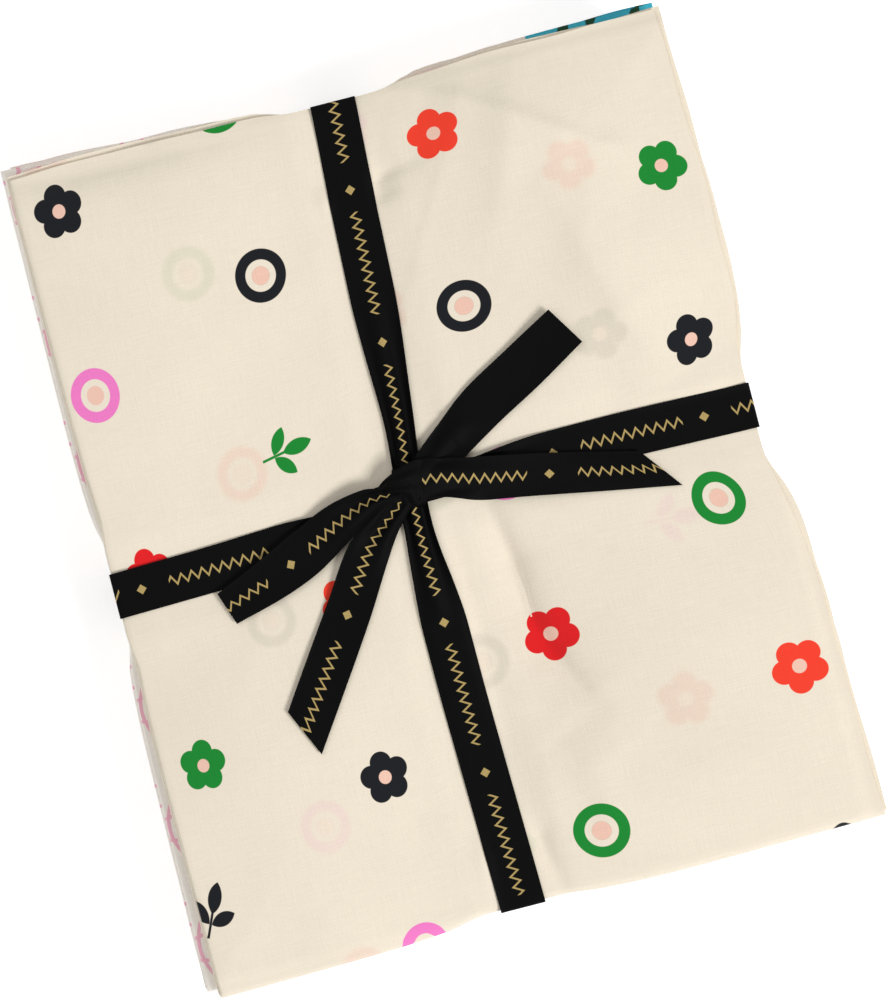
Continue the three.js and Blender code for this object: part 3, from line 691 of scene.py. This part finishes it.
def linked_rings(base, s, t, ground):
    """Thin pink rings on two square grids set half a pitch apart, so that they link."""
    pitch, ring_radius, line_half = 42.0, 17.5, 0.6
    mask = None
    for shift in (0.0, pitch / 2):
        x = (s + shift) % pitch - pitch / 2
        y = (t + shift) % pitch - pitch / 2
        ring = abs((x * x + y * y) ** 0.5 - ring_radius).below(line_half)
        mask = ring if mask is None else mask.most(ring)
    return mask.blend(ground, (*PALE_PINK, 1.0))


def leafy_border(base, s, t, ground):
    """A turquoise stripe near both cut sides, with dark leaves lying along it, each where two flattened
    circles overlap."""
    stripe_at, stripe_half = 22.5, 24.5
    leaf_pitch, leaf_drop = (14.0, 17.0), 8.0
    lean, flattened, circle_off, circle_radius = 0.4, 0.55, 5.0, 7.6
    inset = s.least(CUT[0] - s)
    stripe = abs(inset - stripe_at).below(stripe_half)
    x = inset % leaf_pitch[0] - leaf_pitch[0] / 2
    y = (t + (inset / leaf_pitch[0]).floor() * leaf_drop) % leaf_pitch[1] - leaf_pitch[1] / 2
    side = abs(x + y * lean) + circle_off
    leaf = ((side**2.0 + y * y * flattened) ** 0.5).below(circle_radius)
    lit = stripe.blend(ground, (*TURQUOISE, 1.0))
    return (leaf * stripe).blend(lit, (*DARK_GREEN, 1.0))


def sprinkled(shades, pitch, radius):
    """A pattern of small dots, one to a square. One draw for each square, and remainders of its multiples,
    move the dot off the middle both ways and pick its colour."""

    def pattern(base, s, t, ground):
        column, row = (s / pitch).floor(), (t / pitch).floor()
        square = base.node("ShaderNodeCombineXYZ", None, {0: column, 1: row})
        flat_noise = {"noise_dimensions": "2D"}
        value = base.node("ShaderNodeTexWhiteNoise", flat_noise, {"Vector": square}, output="Value")
        stray = pitch - 2.4 * radius
        x = (s / pitch - column - 0.5) * pitch + (value - 0.5) * stray
        y = (t / pitch - row - 0.5) * pitch + ((value * 5.7) % 1.0 - 0.5) * stray
        pick = (value * 9.3) % 1.0
        color = base.node("ShaderNodeValToRGB", {"ramp": "CONSTANT", "stops": shades}, {0: pick})
        return ((x * x + y * y) ** 0.5).below(radius).blend(ground, color)

    return pattern


COTTONS = [
    ("cotton_sage", rgb("8FB9B0"), sprinkled([(0.0, rgb("E9E4D2")), (0.6, rgb("5E8F88"))], 9.0, 1.3)),
    ("cotton_blush", rgb("EEC0AE"), sprinkled([(0.0, rgb("F7EADF")), (0.7, rgb("D9705F"))], 11.0, 1.6)),
    ("cotton_confetti", rgb("F1E4DA"), sprinkled([(0.0, RED), (0.3, PINK), (0.7, rgb("F3B7C2"))], 10.0, 2.6)),
    ("cotton_border", rgb("F0E6D8"), leafy_border),
    ("cotton_rings", rgb("FBF5EC"), linked_rings),
    ("cotton_scattered", CREAM, scattered),
]

for number, (dye, ground, pattern) in enumerate(COTTONS):
    name = f"folded_cotton_{number + 1}"
    mesh = sheet_mesh(name, *folded_cut(number))
    node = f"fat_quarter_{number + 1}"
    material = cotton(dye, ground, pattern)
    piece = cloth_piece(name, mesh, COTTON, node, f"cotton_{number + 1}", material)

# Ribbons round the bundle
# Two lengths of 15 mm black grosgrain go round the stack, one lengthwise and one crosswise over it. They meet
# in the knot, where they are gathered into pleats.
RIBBON_WIDTH = 15.3
RIBBON = 0.4  # thickness as drawn
RIBBON_CLEAR = 0.12  # between a ribbon and the cloth under it
SIDE_CLEAR = 0.35  # between a ribbon and the sides of the stack
GATHERED_WIDTH = 9.2
GATHER_FROM = 9.0  # from the knot's middle to where a ribbon starts to spread
GATHER_REACH = (40.0, 60.0)  # over which it reaches its full width: beside and below the knot, and above it
PLEATS = 1.5  # waves across a gathered ribbon
PLEAT_SHARE = 0.75  # height of the pleats, as a share of what takes up all of the width
KNOT_RISE, KNOT_RISE_REACH = 1.4, 13.0  # how far a ribbon rises into the knot, and from where
CORNER = 0.9  # radius where it turns over the stack's edges
KNOT = (-8.5, 7.0)
KNOT_REACH = 4.0  # how near the knot's middle the two ribbons end
HUMP = {"rise": RIBBON + 0.1, "half": 9.0, "reach": 12.0}  # where the ribbons cross under the stack
ACROSS = 17  # points across a ribbon
ALONG, ALONG_HIDDEN = 1.5, 3.0  # steps along it, on the top and elsewhere
CORNER_STEPS = 6
GOLD = rgb("B8A066")
RIBBON_BLACK, RIBBON_LIT = (0.0016, 0.0016, 0.0017), (0.0042, 0.0042, 0.0046)
MARK_REPEAT = 52.0  # from one run of gold marks to the next
ZIGZAG_PITCH, ZIGZAG_HALF, ZIGZAG_LINE = 3.6, 1.5, 0.55  # tip to tip, half the height, half the line's width
RUN_AT, RUN_HALF = 20.0, 17.5  # where a run of the zigzag has its middle, and half its length
DIAMOND_AT, DIAMOND_HALF = 45.0, 1.7
RIB = 0.55  # from one crosswise rib to the next
SELVEDGE = 0.7  # width of the firmer woven edge


def gold_marks(s, t):
    """Gold on the middle third of the ribbon: runs of a zigzag line, with a small diamond between them."""
    along = s % MARK_REPEAT
    zigzag = abs((s / ZIGZAG_PITCH) % 1.0 - 0.5) * 4.0 - 1.0
    line = abs(t - zigzag * ZIGZAG_HALF).below(ZIGZAG_LINE)
    run = abs(along - RUN_AT).below(RUN_HALF, 0.05)
    diamond = (abs(along - DIAMOND_AT) + abs(t)).below(DIAMOND_HALF)
    return (line * run).most(diamond)


def grosgrain(name, printed):
    """Black ribbon with fine crosswise ribs and firmer woven edges in its bump, and gold marks if printed."""
    material, shader, base = finish(name, roughness=0.5, specular=0.06)
    s, t = flat_place(base)
    place = base.node("ShaderNodeCombineXYZ", None, {0: s * 1.6, 1: t * 0.5})
    noise = base.node("ShaderNodeTexNoise", None, {"Vector": place, "Scale": 1.0, "Detail": 3.0})
    black = (noise * 0.6).blend((*RIBBON_BLACK, 1.0), (*RIBBON_LIT, 1.0))
    color = black
    rough = 0.52 + noise * 0.16
    if printed:
        marks = gold_marks(s, t) * (0.72 + noise * 0.4).least(1.0)
        color = marks.blend(black, (*GOLD, 1.0))
        rough = rough - marks * 0.14
    ribs = (s * (2 * math.pi / RIB)).sine()
    selvedge = 1 - abs(t).below(RIBBON_WIDTH / 2 - SELVEDGE, 0.15)
    height = ribs * (1 - selvedge) * 0.5 + selvedge + noise * 0.6
    bump = base.node("ShaderNodeBump", None, {**WOVEN_BUMP, "Height": height})
    links = material.node_tree.links
    links.new(color.socket, shader.inputs["Base Color"])
    links.new(rough.socket, shader.inputs["Roughness"])
    links.new(bump.socket, shader.inputs["Normal"])
    return material


ribbon_printed = grosgrain("ribbon_printed", True)
ribbon_plain = grosgrain("ribbon_plain", False)


def gathered_width(distance, reach):
    """Width of a ribbon at a distance from the knot: a soft step from gathered to full width."""
    return GATHERED_WIDTH + (RIBBON_WIDTH - GATHERED_WIDTH) * soft_step((distance - GATHER_FROM) / reach)


def pleated(across, width, phase):
    """Rise of a gathered ribbon across it, where across runs from -1 to 1: cosine pleats, whose height grows
    with the root of what the ribbon's full width has over the gathered width."""
    spare = np.sqrt(np.maximum(0, RIBBON_WIDTH / width - 1))
    height = PLEAT_SHARE * width / (np.pi * PLEATS) * spare
    return height * (1 + np.cos(np.pi * PLEATS * across + phase))


def round_the_stack(low, high, knot_low, knot_high, top, under):
    """Path of a ribbon from one side of the knot round the stack to the other: places along it, heights and
    a share that is 1 on the top. low and high are the places of its two outer runs."""
    arc = np.linspace(0, np.pi / 2, CORNER_STEPS)

    def corner(place, height, start):
        return place + CORNER * np.cos(start - arc), height + CORNER * np.sin(start - arc)

    def run(start, end, step=ALONG):
        return np.linspace(start, end, max(2, int(abs(end - start) / step)))

    right, left = high - CORNER, low + CORNER
    out, back = run(knot_high, right)[:-1], run(left, knot_low)[1:]
    floor = run(right, left, ALONG_HIDDEN)[1:-1]
    walls = [run(top(side) - CORNER, under(side) + CORNER, ALONG_HIDDEN)[1:-1] for side in (right, left)]
    stretches = [
        (out, top(out), 1.0),
        (*corner(right, top(right) - CORNER, np.pi / 2), 1.0),
        (np.full(walls[0].size, high), walls[0], 0.0),
        (*corner(right, under(right) + CORNER, 0.0), 0.0),
        (floor, under(floor), 0.0),
        (*corner(left, under(left) + CORNER, -np.pi / 2), 0.0),
        (np.full(walls[1].size, low), walls[1][::-1], 0.0),
        (*corner(left, top(left) - CORNER, np.pi), 1.0),
        (back, top(back), 1.0),
    ]
    place = np.concatenate([stretch[0] for stretch in stretches])
    height = np.concatenate([stretch[1] for stretch in stretches])
    on_top = np.concatenate([np.full(stretch[0].size, stretch[2]) for stretch in stretches])
    return place, height, on_top


laid = []  # points of the ribbons that lie on the bundle so far


def tied_loop(name, node, axis, low, high, centre, under, phase):
    """A ribbon laid along its path: across it, points spread to both sides of the centre line, follow the
    cloth on the top and rise in pleats towards the knot. It runs along X where axis is 0, or Y where 1."""

    def top(place):
        x, y = (centre(place), place) if axis else (place, centre(place))
        return cloth_top(x, y) + RIBBON_CLEAR + RIBBON / 2

    knot_sides = (KNOT[axis] - KNOT_REACH, KNOT[axis] + KNOT_REACH)
    place, height, on_top = round_the_stack(low, high, *knot_sides, top, under)
    across = np.linspace(-1, 1, ACROSS)[None, :]
    distance = np.abs(place - KNOT[axis])[:, None]
    above = (place > KNOT[axis])[:, None] if axis else False
    width = gathered_width(distance, np.where(above, GATHER_REACH[1], GATHER_REACH[0]))
    sideways = across * width / 2
    along = place[:, None] + 0 * across
    middle_line = centre(place)[:, None]
    x, y = (middle_line + sideways, along) if axis else (along, middle_line - sideways)
    on_cloth = cloth_top(x, y) - cloth_top(*((middle_line, along) if axis else (along, middle_line)))
    near_knot = KNOT_RISE * np.exp(-((distance / KNOT_RISE_REACH) ** 2))
    rise = on_cloth + pleated(across, width, phase) + near_knot
    z = height[:, None] + on_top[:, None] * rise
    laid.append(np.stack([x, y, z], axis=-1)[on_top > 0.5].reshape(-1, 3))
    step = np.hypot(np.diff(place), np.diff(height))
    length = np.concatenate([[0.0], np.cumsum(step)])
    flat = np.stack([length[:, None] + 0 * across, across * RIBBON_WIDTH / 2 + 0 * along], axis=-1)
    mesh = sheet_mesh(name, np.stack([x, y, z], axis=-1), flat)
    piece = cloth_piece(name, mesh, RIBBON, node, "ribbon", ribbon_printed)


def lengthwise_centre(y):
    """The lengthwise ribbon's middle x at a y of the bundle."""
    return eased(LENGTHWISE_AT, LENGTHWISE_X, y)


def crosswise_centre(x):
    """The crosswise ribbon's middle y at an x of the bundle."""
    return eased(CROSSWISE_AT, CROSSWISE_Y, x - eased(LENGTHWISE_AT, LENGTHWISE_X, 0.0))


def under_lengthwise(y):
    """It lies flat on the table."""
    return TABLE_CLEAR + RIBBON / 2 + 0 * y


def under_crosswise(x):
    """It passes over the lengthwise ribbon under the stack in a low hump."""
    crossing = lengthwise_centre(crosswise_centre(KNOT[0]))
    share = 1 - soft_step((np.abs(x - crossing) - HUMP["half"]) / HUMP["reach"])
    return TABLE_CLEAR + RIBBON / 2 + HUMP["rise"] * share


tied_loop(
    "tie_lengthwise",
    "ribbon_lengthwise",
    axis=1,
    low=-HALF_LENGTH + DRAWN_IN["bottom"] - SIDE_CLEAR,
    high=HALF_LENGTH - DRAWN_IN["top"] + SIDE_CLEAR,
    centre=lengthwise_centre,
    under=under_lengthwise,
    phase=0.4,
)
tied_loop(
    "tie_crosswise",
    "ribbon_crosswise",
    axis=0,
    low=-HALF_WIDTH + DRAWN_IN["left"] - SIDE_CLEAR,
    high=HALF_WIDTH - DRAWN_IN["right"] + SIDE_CLEAR,
    centre=crosswise_centre,
    under=under_crosswise,
    phase=-0.5,
)

# Free ends
# The ribbons' four ends spread from the knot and lie loose on the bundle, each cut off by hand: two on the
# slant and two nearly square. One has turned over and shows its plain back.

# root_angle in degrees is the way an end leaves the knot, and root_up its height there. Each row is a place
# on its left edge and one on its right edge, seen from the knot, as x, y and rise over the cloth.
ENDS = [
    {
        "root_angle": 40,
        "root_width": 7,
        "root_up": 2.4,
        "rows": [
            ((-3.9, 16.8, 2.2), (5.0, 8.4, 2.0)),
            ((5.4, 24.6, 1.4), (13.0, 12.9, 1.6)),
            ((17.0, 33.8, 0.6), (25.7, 20.5, 0.8)),
            ((33.2, 43.0, 0.6), (41.9, 29.3, 0.6)),
            ((50.7, 52.6, 2.2), (59.0, 39.5, 1.8)),
        ],
    },
    {
        "root_angle": -8,
        "root_width": 10,
        "root_up": 1.6,
        "rows": [
            ((-2.6, 14.9, 3.3), (-5.6, 1.5, 2.2)),
            ((4.3, 13.6, 3.8), (2.2, 0.8, 2.6)),
            ((15.5, 11.2, 3.3), (13.0, -3.0, 2.2)),
            ((34.2, 7.6, 2.2), (31.0, -6.2, 1.8)),
            ((52.4, 3.5, 2.0), (52.5, -10.2, 1.6)),
            ((68.6, -0.5, 2.0), (79.7, -15.0, 0.7)),
        ],
    },
    {
        "root_angle": 192,
        "root_width": 6,
        "root_up": 3.8,
        "rows": [
            ((-18.0, 2.8, 3.2), (-18.4, 9.2, 3.2)),
            ((-23.0, 0.6, 3.2), (-25.0, 9.9, 3.0)),
            ((-32.5, -5.4, 3.0), (-37.0, 7.6, 2.4)),
            ((-45.0, -13.0, 1.9), (-49.6, 2.2, 2.1)),
            ((-58.4, -18.2, 1.6), (-63.0, -4.1, 2.0)),
            ((-75.7, -22.8, 0.8), (-79.6, -11.5, 1.9)),
        ],
    },
    {
        "root_angle": 236,
        "root_width": 7,
        "root_up": 2.2,
        "rows": [
            ((-15.8, -6.2, 1.3), (-22.5, 1.0, 1.9)),
            ((-21.3, -14.2, 0.8), (-33.4, -7.0, 1.8)),
            ((-32.3, -32.2, 0.6), (-44.6, -23.2, 0.6)),
            ((-46.3, -53.1, 0.6), (-57.4, -41.9, 0.6)),
            ((-59.1, -71.8, 1.0), (-66.5, -55.4, 1.0)),
        ],
    },
]
END_ROOT = 3.0  # how far from the knot's middle an end starts, hidden in it
END_STEPS = 14  # sections from one row to the next
END_PLEATS, END_PLEATS_REACH = 8.0, 26.0  # where an end's pleats start to fade, and over what length
CURL, CURL_LENGTH = 0.5, 60.0  # how far its edges curl up or down along it
END_CLEAR = 0.1  # least height over the cloth
SLOPE = 0.32  # at which an end comes down beside a ribbon that it crosses
CROSSING_CLEAR = 0.15  # between it and that ribbon
NEAR_KNOT = 90.0  # how far from the knot the ribbons under an end are looked at


def smooth_edge(rows, steps):
    """A Catmull-Rom curve through the rows: between two rows, a cubic whose slopes come from their
    neighbours."""
    rows = np.array(rows, dtype=float)
    longer = np.vstack([2 * rows[0] - rows[1], rows, 2 * rows[-1] - rows[-2]])
    share = np.linspace(0, len(rows) - 1, (len(rows) - 1) * steps + 1)
    span = np.minimum(share.astype(int), len(rows) - 2)
    t = (share - span)[:, None]
    a, b, c, d = (longer[span + k] for k in range(4))
    return b + 0.5 * t * (c - a + t * (2 * a - 5 * b + 4 * c - d + t * (3 * b - a - 3 * c + d)))


def resting(points):
    """Raises a ribbon's points over the ribbons that it lies on: each point of those holds up a cone with a
    flat top 1 mm in radius, so that the ribbon comes down beside them at the cone's slope."""
    for under in laid:
        near = under[np.hypot(under[:, 0] - KNOT[0], under[:, 1] - KNOT[1]) < NEAR_KNOT]
        away = np.hypot(points[..., None, 0] - near[:, 0], points[..., None, 1] - near[:, 1])
        cones = near[:, 2] + RIBBON + CROSSING_CLEAR - SLOPE * np.maximum(0, away - 1.0)
        held = cones.max(axis=-1)
        points[..., 2] = np.maximum(points[..., 2], held)
    return points


def free_end(number, end, material):
    """An end spanned between its two smooth edges, over the cloth's own height, with pleats at the root."""
    angle = math.radians(end["root_angle"])
    out = np.array([math.cos(angle), math.sin(angle)])
    half_root = np.array([-out[1], out[0]]) * end["root_width"] / 2
    root = np.array(KNOT) + END_ROOT * out
    left_root, right_root = (*(root + half_root), end["root_up"]), (*(root - half_root), end["root_up"])
    left = smooth_edge([left_root] + [row[0] for row in end["rows"]], END_STEPS)
    right = smooth_edge([right_root] + [row[1] for row in end["rows"]], END_STEPS)
    across = np.linspace(0, 1, ACROSS)[None, :, None]
    points = left[:, None, :] * (1 - across) + right[:, None, :] * across
    width = np.minimum(np.hypot(*(left - right)[:, :2].T), RIBBON_WIDTH)[:, None]
    step = np.hypot(*np.diff((left + right) / 2, axis=0)[:, :2].T)
    length = np.concatenate([[0.0], np.cumsum(step)])
    free = soft_step((length[:, None] - END_PLEATS) / END_PLEATS_REACH)
    width = np.where(free >= 1, RIBBON_WIDTH, width + (RIBBON_WIDTH - width) * free)
    x, y = points[..., 0], points[..., 1]
    aside = 2 * across[..., 0] - 1
    curl = CURL * aside**2 * waves(length[:, None], length[:, None], 300 + number, CURL_LENGTH)
    rise = points[..., 2] + pleated(aside, width, 0.6 * number) + curl
    z = cloth_top(x, y) + RIBBON / 2 + np.maximum(rise, END_CLEAR)
    points = resting(np.stack([x, y, z], axis=-1))
    laid.append(points.reshape(-1, 3))
    flat = np.stack(np.broadcast_arrays(length[:, None], (across[..., 0] - 0.5) * RIBBON_WIDTH), axis=-1)
    name = f"tie_end_{number}"
    mesh = sheet_mesh(name, points, flat)
    piece = cloth_piece(name, mesh, RIBBON, f"ribbon_tail_{number}", "ribbon", material)


for number in (1, 4, 2, 3):  # in the order in which they lie on each other
    free_end(number, ENDS[number - 1], ribbon_plain if number == 1 else ribbon_printed)

# Knot
# The two ribbons are drawn tight round each other into a small flat knot. What shows of it is a band of
# ribbon that fans out over it to the right, a turn that passes under that band, and what fills them.

# up is the start's height over the cloth. power is the outline's, and taper the closing cosine's.
CORE = {"half": (5.4, 6.4), "height": 5.16, "up": 0.1, "power": 3.0, "taper": 0.6, "flat_radius": 6}
# from is the way that the turn runs in plan, in degrees. droop is the share of its height lost at its edges.
TURN = {"from": 96, "half_long": 7.8, "width": 9.0, "height": 6.4, "bow": 0.4, "up": 0.2, "droop": 0.34}
TURN_PLEATS = {"height": 0.35, "waves": 2.5, "phase": 0.8, "sway": 0.8}
TURN_END, TURN_ROUND = 0.5, 0.6  # share of its width at its ends, and the power by which it widens from them
TUCK = 0.12  # radians by which each end of the turn goes down past the cloth
BAND_LENGTH = 28.0
BAND_TIGHT, BAND_SPREAD = 15.0, 10.0  # from where along it and over what length the band spreads
BAND_CROWN, CROWN_LEFT = 1.5, 0.3  # height of its crown, and the share of it that is left where it spreads
BAND_PLEATS = {"height": 0.42, "waves": 5.2, "phase": 0.6}
CORE_GRID, TURN_GRID, BAND_GRID = (49, 13), (41, 21), (9, 25)  # points along and across, the band's to a row
# The two edges of the ribbon that comes up on the left and fans out over the knot to the right, each place as
# x, y and height over the cloth
BAND = [
    ((-19.6, 8.6, 2.6), (-18.6, 6.6, 2.4)),
    ((-16.6, 11.0, 4.6), (-15.2, 5.4, 4.2)),
    ((-12.0, 13.2, 6.0), (-11.4, 3.8, 5.2)),
    ((-7.6, 14.8, 6.4), (-8.8, 1.9, 4.9)),
    ((-3.4, 15.1, 5.3), (-6.2, 1.3, 4.0)),
    ((0.6, 13.2, 3.0), (-2.6, 3.0, 1.8)),
]


def knot_turn():
    """The turn under the band: half an ellipse from side to side, with the ribbon spread across it, bowed to
    one side, sloping down at its edges and rippled by its pleats."""
    angle = math.radians(TURN["from"])
    along = np.array([math.cos(angle), math.sin(angle)])
    aside = np.array([-along[1], along[0]])
    sweep = np.linspace(-TUCK, np.pi + TUCK, TURN_GRID[0])[:, None]
    across = np.linspace(-1, 1, TURN_GRID[1])[None, :]
    widened = np.sin(np.clip(sweep, 0, np.pi)) ** TURN_ROUND
    spread = TURN["width"] / 2 * (TURN_END + (1 - TURN_END) * widened)
    reach = TURN["half_long"] * np.cos(sweep) + 0 * across
    side = across * spread + TURN["bow"] * np.sin(sweep)
    x = KNOT[0] + along[0] * reach + aside[0] * side
    y = KNOT[1] + along[1] * reach + aside[1] * side
    phase = TURN_PLEATS["phase"] + TURN_PLEATS["sway"] * np.cos(sweep)
    pleats = TURN_PLEATS["height"] * np.cos(np.pi * TURN_PLEATS["waves"] * across + phase)
    shell = TURN["height"] * (1 - TURN["droop"] * across**2) + pleats
    z = cloth_top(x, y) + TURN["up"] + shell * np.sin(sweep)
    flat = [sweep * TURN["half_long"] + 0 * across, across * RIBBON_WIDTH / 2 + 0 * sweep]
    return np.stack([x, y, z], axis=-1), np.stack(flat, axis=-1)


def knot_band():
    """The band over the knot: spanned between its two edges, crowned across by a parabola, with cosine pleats
    that fade out where it spreads."""
    upper, lower = (smooth_edge([row[k] for row in BAND], BAND_GRID[0])[:, None, :] for k in (0, 1))
    across = np.linspace(0, 1, BAND_GRID[1])[None, :, None]
    points = upper * (1 - across) + lower * across
    share = across[..., 0]
    length = np.linspace(0, BAND_LENGTH, len(upper))[:, None] + 0 * share
    tight = 1 - soft_step((length - BAND_TIGHT) / BAND_SPREAD)
    crown = BAND_CROWN * (1 - (2 * share - 1) ** 2) * (CROWN_LEFT + (1 - CROWN_LEFT) * tight)
    waved = np.cos(np.pi * BAND_PLEATS["waves"] * share + BAND_PLEATS["phase"])
    pleats = BAND_PLEATS["height"] * waved * (1 - (2 * share - 1) ** 4) * tight
    x, y = points[..., 0], points[..., 1]
    z = cloth_top(x, y) + points[..., 2] + crown + pleats
    flat = [length, (share - 0.5) * RIBBON_WIDTH + 0 * length]
    return np.stack([x, y, z], axis=-1), np.stack(flat, axis=-1)


def knot_core():
    """The filling under both: a superellipse in plan, whose radius falls off as it rises into a dome."""
    sweep = np.linspace(0, 2 * np.pi, CORE_GRID[0])[:, None]
    climb = np.linspace(0, np.pi / 2, CORE_GRID[1])[None, :]
    (half_x, half_y), power = CORE["half"], CORE["power"]
    outline = np.abs(np.cos(sweep) / half_x) ** power + np.abs(np.sin(sweep) / half_y) ** power
    radius = outline ** (-1 / power) * np.cos(climb) ** CORE["taper"]
    x = KNOT[0] + radius * np.cos(sweep)
    y = KNOT[1] + radius * np.sin(sweep)
    z = cloth_top(x, y) + CORE["up"] + CORE["height"] * np.sin(climb)
    flat = np.stack([sweep + 0 * climb, climb + 0 * sweep], axis=-1) * CORE["flat_radius"]
    return np.stack([x, y, z], axis=-1), flat


core_mesh = sheet_mesh("tie_knot", *knot_core())
knot = cloth_piece("tie_knot", core_mesh, RIBBON, "ribbon_knot", "ribbon", ribbon_plain)
knot_parts = [knot]
for name, surface in (("knot_turn", knot_turn), ("knot_band", knot_band)):
    part = bpy.data.objects.new(name, sheet_mesh(name, *surface()))
    part.data.materials.append(ribbon_plain)
    bpy.context.collection.objects.link(part)
    knot_parts.append(part)
with bpy.context.temp_override(active_object=knot, selected_editable_objects=knot_parts):
    bpy.ops.object.join()
